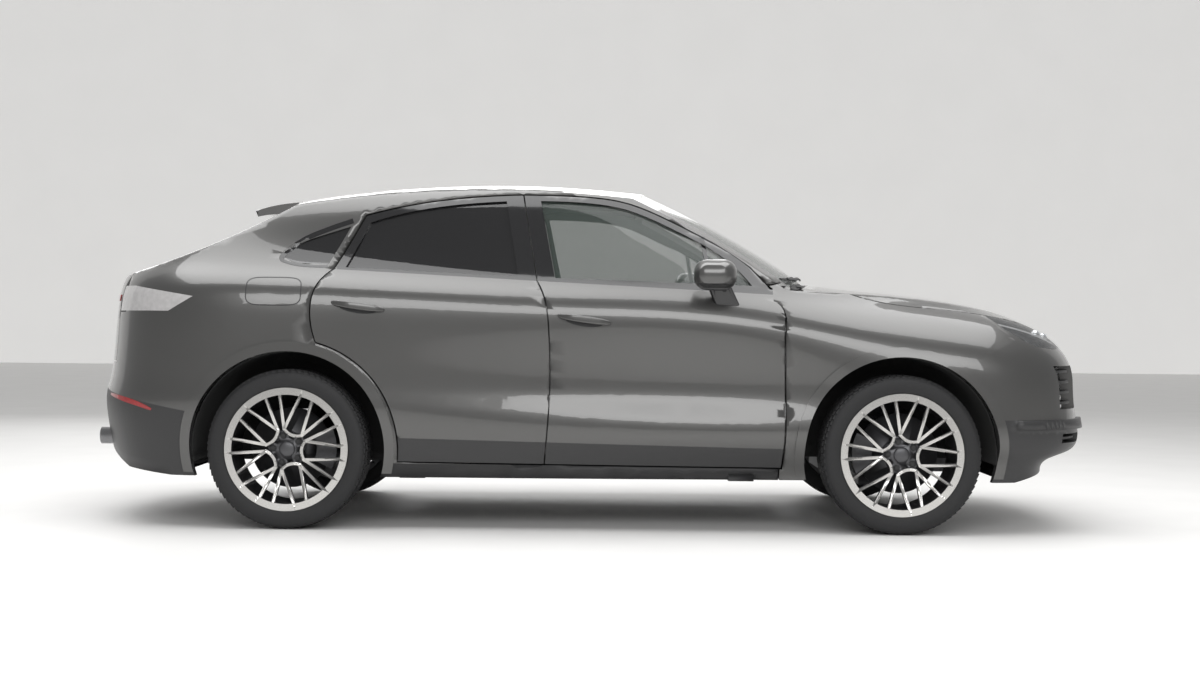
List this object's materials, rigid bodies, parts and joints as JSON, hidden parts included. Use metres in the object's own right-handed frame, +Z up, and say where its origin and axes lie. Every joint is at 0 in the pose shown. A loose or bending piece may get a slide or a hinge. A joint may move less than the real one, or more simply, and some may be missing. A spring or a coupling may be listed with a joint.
{
  "type": "sport utility vehicle",
  "caption": "Five-door sport utility vehicle with a sloping coupe roof, opening doors, hood and tailgate, steered front wheels and a hollow cabin.",
  "frame": {"origin": "on the ground below the middle of the overall length and width", "axes": "+X to the front, +Y to the vehicle's left, +Z up"},
  "size_m": [4.9295, 2.2, 1.6919],
  "materials": {
    "black_plastic": "satin",
    "cast_metal": "cast",
    "engine": "cast",
    "glass": "clear",
    "lamp_clear": "clear gloss",
    "lamp_red": "gloss",
    "leather": "satin",
    "paint": "metallic gloss",
    "rim": "machined",
    "tinted_glass": "dark tint",
    "tyre": "matte",
    "underbody": "matte"
  },
  "bodies": {
    "body": {"arch_trim_front_left": "paint", "arch_trim_front_right": "paint", "arch_trim_rear_left": "paint", "arch_trim_rear_right": "paint", "body_side_left": "paint", "body_side_right": "paint", "cowl": "black_plastic", "dashboard": "black_plastic", "engine": "engine", "exhaust": "cast_metal", "fender_left": "paint", "fender_right": "paint", "floor_pan": "underbody", "front_bumper": "paint", "front_frame": "underbody", "grille": "black_plastic", "headlamp_left": "lamp_clear", "headlamp_right": "lamp_clear", "quarter_glass_left": "tinted_glass", "quarter_glass_right": "tinted_glass", "rear_bumper": "paint", "roof_glass": "tinted_glass", "roof_panel": "paint", "seat_front_left": "leather", "seat_front_right": "leather", "seat_rear": "leather", "suspension_front": "cast_metal", "suspension_rear": "cast_metal", "tail_lamp_left": "lamp_red", "tail_lamp_right": "lamp_red", "windscreen": "glass"},
    "hood": {"hood": "paint"},
    "tailgate": {"tailgate": "paint", "rear_glass": "tinted_glass", "spoiler": "paint"},
    "door_front_left": {"door_front_left": "paint", "glass_front_left": "glass", "mirror_left": "black_plastic"},
    "wheel_front_left": {"tyre_front_left": "tyre", "rim_front_left": "rim"},
    "door_front_right": {"door_front_right": "paint", "glass_front_right": "glass", "mirror_right": "black_plastic"},
    "wheel_front_right": {"tyre_front_right": "tyre", "rim_front_right": "rim"},
    "door_rear_left": {"door_rear_left": "paint", "glass_rear_left": "glass"},
    "wheel_rear_left": {"tyre_rear_left": "tyre", "rim_rear_left": "rim"},
    "door_rear_right": {"door_rear_right": "paint", "glass_rear_right": "glass"},
    "wheel_rear_right": {"tyre_rear_right": "tyre", "rim_rear_right": "rim"},
    "steer_left": {"knuckle_left": "cast_metal"},
    "steer_right": {"knuckle_right": "cast_metal"},
    "steering_wheel": {"steering_wheel": "black_plastic"}
  },
  "joints": [
    {"name": "steer_left", "type": "hinge", "parent": "body", "child": "steer_left", "pos_m": [1.49, 0.774, 0.376], "axis": [0, 0, 1], "range_deg": [-33, 33]},
    {"name": "steer_right", "type": "hinge", "parent": "body", "child": "steer_right", "pos_m": [1.49, -0.774, 0.376], "axis": [0, 0, 1], "range_deg": [-33, 33]},
    {"name": "wheel_front_left_spin", "type": "hinge", "parent": "steer_left", "child": "wheel_front_left", "pos_m": [1.49, 0.836, 0.376], "axis": [0, 1, 0], "continuous": true},
    {"name": "wheel_front_right_spin", "type": "hinge", "parent": "steer_right", "child": "wheel_front_right", "pos_m": [1.49, -0.836, 0.376], "axis": [0, 1, 0], "continuous": true},
    {"name": "wheel_rear_left_spin", "type": "hinge", "parent": "body", "child": "wheel_rear_left", "pos_m": [-1.405, 0.836, 0.376], "axis": [0, 1, 0], "continuous": true},
    {"name": "wheel_rear_right_spin", "type": "hinge", "parent": "body", "child": "wheel_rear_right", "pos_m": [-1.405, -0.836, 0.376], "axis": [0, 1, 0], "continuous": true},
    {"name": "door_front_left_hinge", "type": "hinge", "parent": "body", "child": "door_front_left", "pos_m": [0.8845, 0.945, 0.75], "axis": [0, 0, -1], "range_deg": [0, 65]},
    {"name": "door_rear_left_hinge", "type": "hinge", "parent": "body", "child": "door_rear_left", "pos_m": [-0.2175, 0.945, 0.75], "axis": [0, 0, -1], "range_deg": [0, 65]},
    {"name": "door_front_right_hinge", "type": "hinge", "parent": "body", "child": "door_front_right", "pos_m": [0.8845, -0.945, 0.75], "axis": [0, 0, 1], "range_deg": [0, 65]},
    {"name": "door_rear_right_hinge", "type": "hinge", "parent": "body", "child": "door_rear_right", "pos_m": [-0.2175, -0.945, 0.75], "axis": [0, 0, 1], "range_deg": [0, 65]},
    {"name": "hood_hinge", "type": "hinge", "parent": "body", "child": "hood", "pos_m": [1.0395, 0, 1.16], "axis": [0, -1, 0], "range_deg": [0, 60]},
    {"name": "tailgate_hinge", "type": "hinge", "parent": "body", "child": "tailgate", "pos_m": [-1.4065, 0, 1.582], "axis": [0, 1, 0], "range_deg": [0, 75]},
    {"name": "steering_wheel_turn", "type": "hinge", "parent": "body", "child": "steering_wheel", "pos_m": [0.4795, -0.37, 1.03], "axis": [-0.9135, 0, 0.4067], "range_deg": [-462, 462]}
  ],
  "couplings": [
    {"joint": "steer_right", "follows": "steer_left", "ratio": 1},
    {"joint": "steering_wheel_turn", "follows": "steer_left", "ratio": 14}
  ]
}
